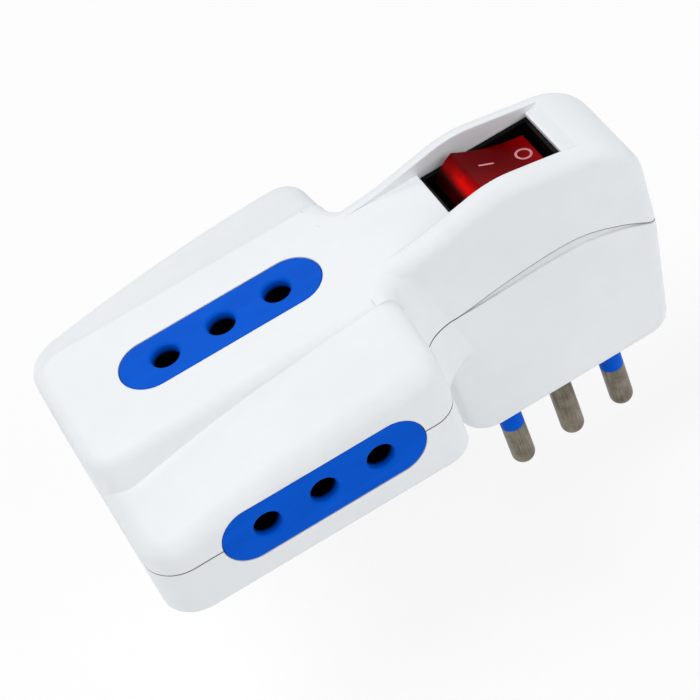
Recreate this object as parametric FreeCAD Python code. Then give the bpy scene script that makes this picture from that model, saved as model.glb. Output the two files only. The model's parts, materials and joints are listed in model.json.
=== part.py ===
"""Switched plug adapter: a white two-part housing with three in-line plug pins under a rocker switch,
and a socket block beside it with one oval socket face on top and one on each long side.

Frame: the origin is on the earth pin's axis, in the face that meets the wall. +Z points away from the
wall, +X from the socket block towards the plug head, and -Y is the near side. Millimetres.
"""
import FreeCAD, Part
import math
import os
from FreeCAD import Vector

# Plug pins
pin_pitch = 9.5
pin_radius = 2.0
pin_length = 19.0
pin_core_radius = 1.3
pin_seat_radius = 1.8
sleeve_length = 10.0
pin_tip_profile = ((1.0, 0.0), (1.7, 0.6), (2.0, 1.7))
pin_collar_half = 3.2
pin_tail_half = 1.1
pin_collar_thickness = 1.5
pin_tail_height = 1.8

# Plug head
head_left_x = -19.0
head_right_bottom_x = 18.4
head_right_seam_x = 21.3
head_right_top_x = 22.0
head_seam_corner_z = 21.0
head_bottom_left_corner = 6.0
head_bottom_right_corner = 4.0
head_top_corner = 10.0
head_edge_rounding = 2.2
head_floor = 2.5
head_wall = 1.7
head_root_x = -31.0
cheek_foot_x = -17.0
cheek_foot_radius = 40.0
cheek_peak_x = -1.2
cheek_peak_rise = 3.45
cheek_peak_radius = 18.0
cheek_end_drop = 1.05
head_end_wall = 2.4
head_cavity_shoulder_z = 34.5
head_cavity_roof_x = 15.8

# Socket block
block_left_x = -72.9
block_right_x = -21.7
block_half_width = 26.4
block_bottom_z = 18.2
block_left_corner = 6.0
block_right_corner = 4.7
block_wall = 2.0
corner_pocket_half_width = 21.0
corner_pocket_height = 3.5
seam_z = 27.0
plateau_z = 41.5
plateau_half_width = 13.5
plateau_foot_half_width = 16.8
plateau_corner = 5.0
plateau_edge_rounding = 2.0
shoulder_edge_rounding = 3.6
shoulder_fall = 4.6
shoulder_arc_radius = 240.0
shoulder_peak_x = -22.0

# Neck between block and head
neck_top_radius = 4.0
neck_foot_reach_x = 14.0
neck_foot_reach_y = 7.0
neck_underside_radius = 4.0
neck_root = 3.0
neck_cap_root = 5.0

# Seam on the plug head, as X and Z of the arch
seam_arch = ((-14.6, 26.4), (-7.7, 27.2), (2.0, 28.1), (9.5, 27.7), (14.5, 25.9), (23.5, 20.4))
seam_ledge_depth = 0.35
seam_ledge_height = 1.6

# Socket faces
socket_centre_x = -45.2
socket_hole_pitch = 9.5
socket_hole_radius = 2.2
insert_length = 33.8
insert_height = 9.9
insert_depth = 10.0
insert_flange_margin = 1.0
insert_clearance = 0.1

# Contacts and strips
contact_base_half = 2.5
contact_waist_half = 1.85
contact_mouth_half = 2.4
contact_waist_share = 0.6
contact_sheet = 0.45
contact_width = 4.5
contact_gap = 0.2
strip_thickness = 0.8
bracket_width = 5.0
run_width = 2.5
run_gap = 0.15
strip_floor_gap = 0.2
side_plug_reach = 19.0
link_tab_drop = 3.0
link_tab_overlap = 3.5
link_start_gap = 1.5
link_turn_gap = 2.5
tongue_length = 12.0

# Switch
switch_centre_x = 1.55
opening_lap = 0.05
opening_side_lap = 0.15
recess_end_x = 11.6
recess_ramp_end_x = 16.0
recess_ramp_rise = 1.6
recess_start_x = -27.0
bezel_top_z = 40.6
bezel_end_margin = 0.9
bezel_side_margin = 1.05
bezel_thickness = 2.0
switch_case_length = 19.2
switch_case_width = 12.9
switch_wall_end = 0.7
switch_wall_side = 0.9
switch_case_bottom_z = 24.6
switch_case_floor = 1.2
fit_clearance = 0.05

# Rocker, measured from its pivot while level
rocker_pivot_z = 35.2
rocker_end_gap = 0.35
rocker_top_height = 6.0
rocker_top_dish = 0.7
rocker_side_gap = 0.35
rocker_skirt_height = 1.2
rocker_foot_half_length = 3.2
rocker_foot_depth = 2.2
rocker_wall = 1.2
rocker_tilt = 20.0
trunnion_radius = 1.2
trunnion_reach = 0.55
guide_outer_radius = 2.0
guide_inner_radius = 1.3
plunger_radius = 1.2
plunger_tip_radius = 0.6
plunger_reach = 6.3
plunger_top = 0.0
spring_coil_radius = 0.9
spring_wire_radius = 0.2
spring_turns = 4
spring_steps = 6
lamp_radius = 1.5
lamp_gap = 0.3
lamp_offset_z = 2.6
resistor_radius = 1.0

# Switch contacts
terminal_offset = 6.6
terminal_thickness = 0.8
terminal_width = 4.8
terminal_bottom_z = 16.5
terminal_shoulder_height = 0.6
outer_terminal_top_z = 26.6
centre_terminal_top_z = 27.6
blade_pivot_z = 28.1
blade_half_length = 6.6
blade_width = 4.0
blade_thickness = 0.6
blade_tilt = 8.0

# Housing screws
screw_left_inset = 5.7
screw_left_side_inset = 9.4
screw_right_inset = 4.8
screw_right_side_inset = 16.4
screw_radius = 1.5
screw_head_radius = 2.75
screw_head_height = 2.0
screw_head_recess = 3.0
screw_length = 11.0
screw_hole_clearance = 0.15
screw_recess_clearance = 0.25
screw_cross_length = 3.0
screw_cross_width = 0.6
screw_cross_depth = 0.9
lower_boss_half = 4.0
upper_boss_half = 2.7

# Values worked out from the sizes above
block_floor_z = block_bottom_z + block_wall
block_cavity_half_width = block_half_width - block_wall
block_cavity_roof_z = seam_z + insert_height / 2 + insert_flange_margin + insert_clearance
plateau_cavity_z = plateau_z - block_wall
plateau_flat_half_width = plateau_half_width - plateau_edge_rounding
shoulder_slope = shoulder_fall / (block_half_width - plateau_flat_half_width)
hole_xs = [socket_centre_x + step * socket_hole_pitch for step in (-1, 0, 1)]
neutral_x, earth_x, line_x = hole_xs
side_contact_inner_y = block_half_width - side_plug_reach - contact_gap - contact_sheet
run_offset_y = side_contact_inner_y - strip_thickness - run_gap - run_width / 2
side_contact_outer_y = block_half_width - insert_depth - contact_gap
bracket_z = block_floor_z + strip_floor_gap
bracket_top_z = bracket_z + strip_thickness
run_z = bracket_top_z + strip_thickness
drop_x = head_left_x + 3.5
pin_strip_z = head_floor + pin_collar_thickness
pivot = Vector(switch_centre_x, 0, rocker_pivot_z)
opening_length = switch_case_length - 2 * opening_lap
opening_half_width = switch_case_width / 2 - opening_side_lap
bezel_length = switch_case_length + 2 * bezel_end_margin
bezel_width = switch_case_width + 2 * bezel_side_margin
head_half_width = bezel_width / 2 + head_wall
rocker_sweep_radius = switch_case_length / 2 - switch_wall_end - rocker_end_gap
rocker_half_width = switch_case_width / 2 - switch_wall_side - rocker_side_gap
trunnion_length = rocker_side_gap + trunnion_reach
lamp_roof_z = lamp_offset_z + lamp_radius
lamp_room_x = math.sqrt((rocker_sweep_radius - rocker_wall) ** 2 - lamp_roof_z ** 2)
lamp_offset_x = lamp_room_x - lamp_radius - lamp_gap
screw_places = [
    (x, side * y)
    for x, y in ((block_left_x + screw_left_inset, block_half_width - screw_left_side_inset),
                 (block_right_x - screw_right_inset, block_half_width - screw_right_side_inset))
    for side in (-1, 1)
]


def box(x0, x1, y0, y1, z0, z1):
    return Part.makeBox(x1 - x0, y1 - y0, z1 - z0, Vector(x0, y0, z0))


def fuse(shapes):
    return shapes[0].multiFuse(shapes[1:]).removeSplitter()


def prism_y(edges, half_width):
    """Outline in the XZ plane, pulled out to both sides of Y = 0."""
    face = Part.Face(Part.Wire(edges))
    face.translate(Vector(0, -half_width, 0))
    return face.extrude(Vector(0, 2 * half_width, 0))


def segments(points):
    """Straight edges through XZ points, left open at the end."""
    corners = [Vector(x, 0, z) for x, z in points]
    return [Part.makeLine(start, end) for start, end in zip(corners, corners[1:])]


def outline(x0, x1, half_width, left_radius, right_radius, z):
    """Rectangle in plan with rounded corners, as one wire."""
    def corner(centre_x, centre_y, radius, start):
        circle = Part.Circle(Vector(centre_x, centre_y, z), Vector(0, 0, 1), radius)
        return circle.toShape(math.radians(start), math.radians(start + 90))
    arcs = [
        corner(x0 + left_radius, -half_width + left_radius, left_radius, 180),
        corner(x1 - right_radius, -half_width + right_radius, right_radius, 270),
        corner(x1 - right_radius, half_width - right_radius, right_radius, 0),
        corner(x0 + left_radius, half_width - left_radius, left_radius, 90),
    ]
    edges = []
    for arc, following in zip(arcs, arcs[1:] + arcs[:1]):
        edges.append(arc)
        edges.append(Part.makeLine(arc.lastVertex().Point, following.firstVertex().Point))
    return Part.Wire(edges)


def stadium(length, height, depth):
    """Oval block centred on the origin in XY, from Z = -depth up to Z = 0."""
    radius = height / 2
    middle = box(-length / 2 + radius, length / 2 - radius, -radius, radius, -depth, 0)
    ends = [Part.makeCylinder(radius, depth, Vector(side * (length / 2 - radius), 0, -depth))
            for side in (-1, 1)]
    return fuse([middle] + ends)


def edges_where(shape, test):
    """Edges whose every sample point passes the test."""
    chosen = []
    for edge in shape.Edges:
        first, last = edge.ParameterRange
        points = [edge.valueAt(first + share * (last - first)) for share in (0.1, 0.5, 0.9)]
        if all(test(point) for point in points):
            chosen.append(edge)
    return chosen


def place_top(shape):
    """From the socket's own frame, face at Z = 0, to the top of the plateau."""
    placed = shape.copy()
    placed.translate(Vector(socket_centre_x, 0, plateau_z))
    return placed


def place_side(shape, side):
    """To a long side of the block: side -1 is the near one, +1 the far one."""
    placed = shape.copy()
    placed.rotate(Vector(), Vector(1, 0, 0), -90 * side)
    placed.translate(Vector(socket_centre_x, side * block_half_width, seam_z))
    return placed


def place_all(shape):
    return [place_top(shape), place_side(shape, -1), place_side(shape, 1)]


def level_to_rest(shape):
    """Tilts what is drawn level at the pivot, so that the end with the ring is pressed in."""
    placed = shape.copy()
    placed.rotate(Vector(), Vector(0, 1, 0), rocker_tilt)
    placed.translate(pivot)
    return placed


def block_plan(z):
    return outline(block_left_x, block_right_x, block_half_width, block_left_corner, block_right_corner, z)


def shoulder(side):
    """One long shoulder of the block: it falls towards the outside and, in a long arc, towards the left."""
    slab = Part.Face(block_plan(seam_z)).extrude(Vector(0, 0, plateau_z - seam_z))
    inner = plateau_flat_half_width
    outer = block_half_width + block_wall
    root_z = seam_z - block_wall
    corners = [(inner, root_z), (outer, root_z), (outer, plateau_z - shoulder_slope * (outer - inner)),
               (inner, plateau_z), (inner, root_z)]
    section = Part.Face(Part.makePolygon([Vector(shoulder_peak_x, side * y, z) for y, z in corners]))
    centre = Vector(shoulder_peak_x, 0, plateau_z - shoulder_arc_radius)
    axis = Vector(0, 1, 0)
    reach = math.degrees((shoulder_peak_x - block_left_x) / shoulder_arc_radius) + 1
    section.rotate(centre, axis, 1)
    body = slab.common(section.revolve(centre, axis, -reach - 1))

    def on_rim(p):
        near_end = p.x < block_left_x + block_left_corner or p.x > block_right_x - block_right_corner
        beside = abs(p.y) > block_half_width - 0.01
        return p.z > seam_z + 2 and abs(p.y) > inner + 0.01 and (near_end or beside)
    rim = [edge for edge in edges_where(body, on_rim) if abs(edge.tangentAt(edge.FirstParameter).z) < 0.9]
    return body.makeFillet(shoulder_edge_rounding, rim)


def plateau_body():
    """Raised middle of the block, with drafted sides; its right end merges into the shoulders."""
    end_x = block_right_x - shoulder_edge_rounding
    corners = [(plateau_foot_half_width, seam_z), (plateau_half_width, plateau_z),
               (-plateau_half_width, plateau_z), (-plateau_foot_half_width, seam_z)]
    section = Part.Face(Part.makePolygon([Vector(block_left_x, y, z) for y, z in corners + corners[:1]]))
    body = section.extrude(Vector(end_x - block_left_x, 0, 0))

    def upright(p):
        return p.x < block_left_x + 0.01 and seam_z + 0.01 < p.z < plateau_z - 0.01
    body = body.makeFillet(plateau_corner, edges_where(body, upright))
    lip = edges_where(body, lambda p: p.z > plateau_z - 0.01 and p.x < end_x - 0.01)
    body = body.makeFillet(plateau_edge_rounding, lip)
    inner = plateau_flat_half_width
    end = box(end_x - plateau_corner, block_right_x, -inner, inner, seam_z, plateau_z)
    top_edge = edges_where(end, lambda p: p.x > block_right_x - 0.01 and p.z > plateau_z - 0.01)
    return fuse([body, end.makeFillet(shoulder_edge_rounding, top_edge)])


def block_body():
    """Socket block: straight lower walls, two falling shoulders and the plateau between them."""
    lower = Part.Face(block_plan(block_bottom_z)).extrude(Vector(0, 0, seam_z - block_bottom_z))
    return fuse([lower, shoulder(-1), shoulder(1), plateau_body()])


def head_profile():
    """Side view of the plug head before its corners are rounded, as points in the XZ plane."""
    return [(head_root_x, plateau_z), (head_root_x, block_bottom_z), (head_left_x, block_bottom_z),
            (head_left_x, 0), (head_right_bottom_x, 0), (head_right_seam_x, head_seam_corner_z),
            (head_right_top_x, plateau_z - cheek_end_drop), (cheek_peak_x, plateau_z + cheek_peak_rise),
            (cheek_foot_x, plateau_z), (head_root_x, plateau_z)]


def head_body():
    """Plug head: its side view with rounded corners and sides, and the recess in its top."""
    points = head_profile()
    body = prism_y(segments(points), head_half_width)
    corner_radii = ((2, neck_underside_radius), (3, head_bottom_left_corner), (4, head_bottom_right_corner),
                    (6, head_top_corner), (7, cheek_peak_radius), (8, cheek_foot_radius))
    for place, radius in corner_radii:
        x, z = points[place]
        body = body.makeFillet(radius, edges_where(body, lambda p: math.hypot(p.x - x, p.z - z) < 0.01))
    sides = edges_where(body, lambda p: abs(p.y) > head_half_width - 0.01 and p.x > head_root_x + 0.01)
    body = body.makeFillet(head_edge_rounding, sides)
    top_z = plateau_z + cheek_peak_rise
    recess = [(recess_start_x, plateau_z), (recess_end_x, plateau_z),
              (recess_ramp_end_x, plateau_z + recess_ramp_rise), (recess_ramp_end_x, top_z),
              (recess_start_x, top_z), (recess_start_x, plateau_z)]
    return body.cut(prism_y(segments(recess), opening_half_width))


def neck_flare(side):
    """Hollow corner between the block's end and the head's side, wider at the foot than at the top."""
    wall_x = block_right_x
    wall_y = head_half_width
    rounding_z = plateau_z - shoulder_edge_rounding

    def ring(reach_x, reach_y, z):
        a = Vector(wall_x, side * (wall_y + reach_y), z)
        b = Vector(wall_x + reach_x, side * wall_y, z)
        corner = Vector(wall_x, side * wall_y, z)
        back = Vector(wall_x - neck_root, side * (wall_y + reach_y), z)
        inner = Vector(wall_x - neck_root, side * (wall_y - neck_root), z)
        front = Vector(wall_x + reach_x, side * (wall_y - neck_root), z)
        bend = 1 - math.sqrt(0.5)
        middle = corner + Vector(reach_x * bend, side * reach_y * bend, 0)
        edges = [Part.Arc(a, middle, b).toShape()]
        edges += [Part.makeLine(p, q) for p, q in zip((b, front, inner, back), (front, inner, back, a))]
        return Part.Wire(edges)
    foot = ring(neck_foot_reach_x, neck_foot_reach_y, block_bottom_z)
    waist = ring(neck_top_radius, neck_top_radius, rounding_z)
    lower = Part.makeLoft([foot, waist], True, True)
    centre_x = wall_x + neck_top_radius
    reach = neck_top_radius + shoulder_edge_rounding
    root = neck_top_radius + neck_cap_root
    section = [Vector(neck_top_radius, 0, rounding_z), Vector(root, 0, rounding_z),
               Vector(root, 0, plateau_z), Vector(reach, 0, plateau_z)]
    bend = shoulder_edge_rounding * (1 - math.sqrt(0.5))
    middle = Vector(neck_top_radius + bend, 0, plateau_z - bend)
    edges = [Part.makeLine(p, q) for p, q in zip(section, section[1:])]
    edges.append(Part.Arc(section[3], middle, section[0]).toShape())
    cap = Part.Face(Part.Wire(edges)).revolve(Vector(), Vector(0, 0, 1), 90)
    cap.rotate(Vector(), Vector(0, 0, 1), 90 if side < 0 else 180)
    cap.translate(Vector(centre_x, side * (wall_y + neck_top_radius), 0))
    inner = plateau_flat_half_width
    outer = wall_y + root
    corners = [(inner, plateau_z), (outer, plateau_z - shoulder_slope * (outer - inner)),
               (outer, plateau_z + 1), (inner, plateau_z + 1), (inner, plateau_z)]
    above = Part.Face(Part.makePolygon([Vector(wall_x - root, side * y, z) for y, z in corners]))
    return fuse([lower, cap.cut(above.extrude(Vector(2 * root, 0, 0)))])


def below_line(points):
    """Everything under a line that is level on the block and follows the given arch on the head."""
    start = Vector(block_right_x, 0, seam_z)
    arch = Part.BSplineCurve()
    arch.interpolate(Points=[start] + [Vector(x, 0, z) for x, z in points],
                     InitialTangent=Vector(1, 0, 0), FinalTangent=Vector(1, 0, -0.7))
    end_x, end_z = points[-1]
    left_x = block_left_x - block_wall
    low_z = -block_wall
    edges = [Part.makeLine(Vector(left_x, 0, seam_z), start), arch.toShape()]
    edges += segments([(end_x, end_z), (end_x, low_z), (left_x, low_z), (left_x, seam_z)])
    return prism_y(edges, block_half_width + block_wall)


def seam_ledges():
    """Shallow crescents under the arch, cut into both sides of the lower shell."""
    last = len(seam_arch) - 1
    lower_edge = [(x, z - seam_ledge_height * math.sin(math.pi * place / last))
                  for place, (x, z) in enumerate(seam_arch)]
    band = below_line(seam_arch).cut(below_line(lower_edge))
    inner = head_half_width - seam_ledge_depth
    x0 = seam_arch[0][0]
    x1 = seam_arch[-1][0]
    outer_box = box(x0, x1, -block_half_width, block_half_width, 0, plateau_z)
    return band.common(outer_box).cut(box(x0 - 1, x1 + 1, -inner, inner, 0, plateau_z))


def cavities():
    """Space inside the two shells."""
    left = block_left_x + block_wall
    right = block_right_x - block_wall
    wide = block_cavity_half_width
    lower_block = box(left, right, -wide, wide, block_floor_z, seam_z)
    behind_faces_x = socket_centre_x - insert_length / 2 - insert_flange_margin - insert_clearance
    upper_block = box(behind_faces_x, right, -wide, wide, seam_z, block_cavity_roof_z)
    pocket = box(left, behind_faces_x, -corner_pocket_half_width, corner_pocket_half_width,
                 seam_z, seam_z + corner_pocket_height)
    under_plateau_width = plateau_half_width - block_wall
    plateau = box(left, right, -under_plateau_width, under_plateau_width, seam_z, plateau_cavity_z)
    half = head_half_width - head_wall
    neck = box(right - 1, head_left_x + 3, -half, half, block_floor_z, plateau_cavity_z)
    left_x = head_left_x + head_wall
    roof_z = bezel_top_z - bezel_thickness
    head_points = [(left_x, head_floor), (head_right_bottom_x - head_end_wall, head_floor),
                   (head_right_seam_x - head_end_wall, head_seam_corner_z),
                   (head_right_top_x - head_end_wall, head_cavity_shoulder_z),
                   (head_cavity_roof_x, roof_z), (left_x, roof_z), (left_x, head_floor)]
    head = prism_y(segments(head_points), half)
    half_bezel = bezel_length / 2 + fit_clearance
    bezel = box(switch_centre_x - half_bezel, switch_centre_x + half_bezel, -half, half,
                roof_z - 1, bezel_top_z)
    return fuse([lower_block, upper_block, pocket, plateau, neck, head, bezel])


def socket_openings():
    """Oval holes in the walls, and the hole over the switch."""
    clear = 2 * insert_clearance
    oval = stadium(insert_length + clear, insert_height + clear, block_wall + 1)
    oval.translate(Vector(0, 0, 0.5))
    opening_x0 = switch_centre_x - opening_length / 2
    hole = box(opening_x0, opening_x0 + opening_length, -opening_half_width, opening_half_width,
               bezel_top_z - 1, plateau_z + 1)
    return place_all(oval) + [hole]


def pin_holes():
    return [Part.makeCylinder(pin_seat_radius + fit_clearance, head_floor + 2, Vector(x, 0, -1))
            for x in (-pin_pitch, 0, pin_pitch)]


def housings():
    """The two shells, split at the seam."""
    solid = fuse([block_body(), head_body(), neck_flare(-1), neck_flare(1)])
    solid = solid.cut(cavities()).cut(socket_openings() + pin_holes())
    lower_tool = below_line(seam_arch)
    lower = solid.common(lower_tool).cut(seam_ledges())
    upper = solid.cut(lower_tool)
    floor = block_bottom_z
    roof = block_cavity_roof_z
    for x, y in screw_places:
        at = Vector(x, y, 0)
        boss = box(x - lower_boss_half, x + lower_boss_half, y - lower_boss_half, y + lower_boss_half,
                   floor + 0.5, seam_z)
        hole = Part.makeCylinder(screw_radius + screw_hole_clearance, seam_z - floor + 2,
                                 at + Vector(0, 0, floor - 1))
        recess = Part.makeCylinder(screw_head_radius + screw_recess_clearance, screw_head_recess + 1,
                                   at + Vector(0, 0, floor - 1))
        lower = fuse([lower, boss]).cut([hole, recess])
        post = box(x - upper_boss_half, x + upper_boss_half, y - upper_boss_half, y + upper_boss_half,
                   seam_z, roof + 0.5)
        pilot = Part.makeCylinder(screw_radius + fit_clearance, roof - seam_z - 0.5,
                                  at + Vector(0, 0, seam_z - 0.1))
        upper = fuse([upper, post]).cut(pilot)
    return upper, lower


def socket_insert():
    """Oval face with three holes, on a straight block behind it that hooks behind the wall."""
    face = stadium(insert_length, insert_height, block_wall)
    half_length = insert_length / 2 + insert_flange_margin
    half_height = insert_height / 2 + insert_flange_margin
    back = box(-half_length, half_length, -half_height, half_height, -insert_depth, -block_wall)
    holes = [Part.makeCylinder(socket_hole_radius, insert_depth + 2,
                               Vector(x - socket_centre_x, 0, -insert_depth - 1)) for x in hole_xs]
    return fuse([face, back]).cut(holes)


def contact(length):
    """Spring clip folded from sheet, standing on Z = 0: two leaves that close on the pin at the waist."""
    waist_z = contact_waist_share * length
    inner = [(contact_base_half - contact_sheet, contact_sheet), (contact_waist_half, waist_z),
             (contact_mouth_half, length)]
    outer = [(contact_mouth_half + contact_sheet, length), (contact_waist_half + contact_sheet, waist_z),
             (contact_base_half, 0)]
    half = inner + outer
    mirrored = [(-x, z) for x, z in reversed(half)]
    return prism_y(segments(half + mirrored + half[:1]), contact_width / 2)


def top_contact(x):
    length = plateau_z - insert_depth - contact_gap - bracket_top_z
    shape = contact(length)
    shape.translate(Vector(x, 0, bracket_top_z))
    return shape


def side_contact(x, side):
    shape = contact(side_contact_outer_y - side_contact_inner_y)
    shape.rotate(Vector(), Vector(1, 0, 0), -90 * side)
    shape.translate(Vector(x, side * side_contact_inner_y, seam_z))
    return shape


def bracket(x):
    """Folded strip under the three contacts of one pole."""
    half = bracket_width / 2
    reach = side_contact_inner_y
    foot = max(reach, run_offset_y + run_width / 2)
    base = box(x - half, x + half, -foot, foot, bracket_z, bracket_top_z)
    top = seam_z + contact_width / 2
    ends = [box(x - half, x + half, min(side * reach, side * (reach - strip_thickness)),
                max(side * reach, side * (reach - strip_thickness)), bracket_z, top) for side in (-1, 1)]
    return [base] + ends


def eye_plate(x):
    """End of a strip on top of a pin's collar, and the square hole for the pin's tail."""
    half = pin_collar_half
    hole = pin_tail_half + fit_clearance
    eye = box(x - half, x + half, -half, half, pin_strip_z, pin_strip_z + strip_thickness)
    return eye, box(x - hole, x + hole, -hole, hole, pin_strip_z - 1, pin_strip_z + strip_thickness + 1)


def long_busbar(pole_x, pin_x, side, branch_x=None):
    """Bracket of a pole, its run over the other brackets, its drop in the head and the eye at its pin."""
    y0 = side * run_offset_y - run_width / 2
    y1 = side * run_offset_y + run_width / 2
    half = bracket_width / 2
    inner = min(y0, y1, key=abs)
    step = box(pole_x + half - strip_thickness, pole_x + half, y0, y1, bracket_z, run_z + strip_thickness)
    run = box(pole_x + half - strip_thickness, drop_x, y0, y1, run_z, run_z + strip_thickness)
    drop = box(drop_x - strip_thickness, drop_x, y0, y1, pin_strip_z, run_z + strip_thickness)
    foot = box(drop_x - strip_thickness, pin_x + run_width / 2, y0, y1,
               pin_strip_z, pin_strip_z + strip_thickness)
    tab = box(pin_x - run_width / 2, pin_x + run_width / 2, min(0, inner), max(0, inner),
              pin_strip_z, pin_strip_z + strip_thickness)
    eye, hole = eye_plate(pin_x)
    shapes = bracket(pole_x) + [step, run, drop, foot, tab, eye]
    if branch_x is not None:
        face_x = branch_x - terminal_thickness / 2
        shapes.append(box(drop_x - strip_thickness, face_x, y0, y1, run_z, run_z + strip_thickness))
        shapes.append(box(face_x - strip_thickness, face_x, y0, terminal_width / 2,
                          run_z - link_tab_drop, run_z + strip_thickness))
    return fuse(shapes).cut(hole)


def line_busbar():
    """Bracket of the switched pole with a short tongue under the switched link."""
    tongue = box(line_x, line_x + tongue_length, -run_width / 2, run_width / 2, bracket_z, bracket_top_z)
    return fuse(bracket(line_x) + [tongue])


def switched_link():
    """Strip from the switch's load tab, past the other tabs, back to the tongue of the line bracket."""
    z0 = bracket_top_z
    z1 = z0 + strip_thickness
    half = run_width / 2
    face_x = switch_centre_x + terminal_offset + terminal_thickness / 2
    y0 = run_offset_y - half
    y1 = run_offset_y + half
    turn_x = drop_x + link_turn_gap
    start_x = line_x + bracket_width / 2 + link_start_gap
    return fuse([
        box(start_x, turn_x + run_width, -half, half, z0, z1),
        box(turn_x, turn_x + run_width, -half, y1, z0, z1),
        box(turn_x, face_x + strip_thickness, y0, y1, z0, z1),
        box(face_x, face_x + strip_thickness, -terminal_width / 2, y1, z0 - link_tab_drop, z1),
    ])


def supply_link():
    """Strip from the line pin's tail, up beside it and across to the switch's centre tab."""
    half = terminal_width / 2
    eye, hole = eye_plate(pin_pitch)
    face_x = switch_centre_x + terminal_thickness / 2
    riser_x = pin_pitch + pin_collar_half
    cross_z = terminal_bottom_z - link_tab_drop
    return fuse([
        eye,
        box(pin_pitch, riser_x + strip_thickness, -half, half, pin_strip_z, pin_strip_z + strip_thickness),
        box(riser_x, riser_x + strip_thickness, -half, half, pin_strip_z, cross_z + strip_thickness),
        box(face_x, riser_x + strip_thickness, -half, half, cross_z, cross_z + strip_thickness),
        box(face_x, face_x + strip_thickness, -half, half, cross_z, terminal_bottom_z + link_tab_overlap),
    ]).cut(hole)


def pin(sleeved):
    """Plug pin on the Z axis: blunt tip, shank, seat in the floor, square collar and square tail."""
    tip = [(0, -pin_length)]
    tip += [(radius, height - pin_length) for radius, height in pin_tip_profile]
    shank_top = -sleeve_length if sleeved else 0
    seat_radius = pin_core_radius if sleeved else pin_seat_radius
    upper = [(pin_radius, shank_top), (seat_radius, shank_top), (seat_radius, head_floor), (0, head_floor)]
    half_section = Part.Face(Part.Wire(segments(tip + upper + tip[:1])))
    half = pin_collar_half
    tail = pin_tail_half
    return fuse([
        half_section.revolve(Vector(), Vector(0, 0, 1), 360),
        box(-half, half, -half, half, head_floor, pin_strip_z),
        box(-tail, tail, -tail, tail, pin_strip_z, pin_strip_z + pin_tail_height),
    ])


def pin_sleeve():
    """Insulating tube flush with the pin, with a thinner neck that passes through the floor."""
    low = Vector(0, 0, -sleeve_length)
    outer = Part.makeCylinder(pin_radius, sleeve_length, low)
    neck = Part.makeCylinder(pin_seat_radius, head_floor)
    return fuse([outer, neck]).cut(
        Part.makeCylinder(pin_core_radius + fit_clearance, sleeve_length + head_floor, low))


def at_x(shape, x):
    placed = shape.copy()
    placed.translate(Vector(x, 0, 0))
    return placed


def terminal_xs():
    return [switch_centre_x + side * terminal_offset for side in (-1, 0, 1)]


def switch_body():
    """Black switch case with its frame, open at the top, with slots for the tabs and pivot holes."""
    x = switch_centre_x
    case = box(x - switch_case_length / 2, x + switch_case_length / 2, -switch_case_width / 2,
               switch_case_width / 2, switch_case_bottom_z, bezel_top_z)
    frame = box(x - bezel_length / 2, x + bezel_length / 2, -bezel_width / 2, bezel_width / 2,
                bezel_top_z - bezel_thickness, bezel_top_z)
    inner_x = switch_case_length / 2 - switch_wall_end
    inner_y = switch_case_width / 2 - switch_wall_side
    hollow = box(x - inner_x, x + inner_x, -inner_y, inner_y,
                 switch_case_bottom_z + switch_case_floor, bezel_top_z + 1)
    pivot_hole = Part.makeCylinder(trunnion_radius + fit_clearance, switch_case_width + 2,
                                   Vector(x, -switch_case_width / 2 - 1, rocker_pivot_z), Vector(0, 1, 0))
    slot_x = terminal_thickness / 2 + fit_clearance
    slot_y = terminal_width / 2 + fit_clearance
    slots = [box(tab_x - slot_x, tab_x + slot_x, -slot_y, slot_y, switch_case_bottom_z - 1,
                 switch_case_bottom_z + switch_case_floor + 1) for tab_x in terminal_xs()]
    return fuse([case, frame]).cut([hollow, pivot_hole] + slots)


def terminal(x, top_z):
    """Flat tab with a wider shoulder that rests on the case floor inside."""
    half = terminal_thickness / 2
    tab = box(x - half, x + half, -terminal_width / 2, terminal_width / 2, terminal_bottom_z, top_z)
    floor_z = switch_case_bottom_z + switch_case_floor
    shoulder = box(x - 2 * half, x + 2 * half, -terminal_width / 2, terminal_width / 2, floor_z,
                   floor_z + terminal_shoulder_height)
    return fuse([tab, shoulder])


def contact_blade():
    """Seesaw strip over the centre tab, one end down on its neighbour."""
    strip = box(-blade_half_length, blade_half_length, -blade_width / 2, blade_width / 2,
                -blade_thickness / 2, blade_thickness / 2)
    strip.rotate(Vector(), Vector(0, 1, 0), -blade_tilt)
    strip.translate(Vector(switch_centre_x, 0, blade_pivot_z + blade_thickness / 2))
    return strip


def rocker_profile(inset):
    """Side view of the rocker round its pivot: dished top, swept ends, narrow foot."""
    radius = rocker_sweep_radius - inset
    top = rocker_top_height - inset
    half = math.sqrt(radius ** 2 - top ** 2)
    skirt_x = math.sqrt(radius ** 2 - rocker_skirt_height ** 2)
    bend = math.atan2(half + skirt_x, top + rocker_skirt_height)
    left_top = Vector(-half, 0, top)
    right_top = Vector(half, 0, top)
    right_skirt = Vector(skirt_x, 0, rocker_skirt_height)
    left_skirt = Vector(-skirt_x, 0, rocker_skirt_height)
    right_mid = Vector(radius * math.sin(bend), 0, radius * math.cos(bend))
    left_mid = Vector(-right_mid.x, 0, right_mid.z)
    foot_x = rocker_foot_half_length - inset
    foot_z = -rocker_foot_depth - inset
    foot = [right_skirt, Vector(foot_x, 0, foot_z), Vector(-foot_x, 0, foot_z), left_skirt]
    edges = [Part.Arc(left_top, Vector(0, 0, top - rocker_top_dish), right_top).toShape(),
             Part.Arc(right_top, right_mid, right_skirt).toShape()]
    edges += [Part.makeLine(p, q) for p, q in zip(foot, foot[1:])]
    edges.append(Part.Arc(left_skirt, left_mid, left_top).toShape())
    return edges


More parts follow.
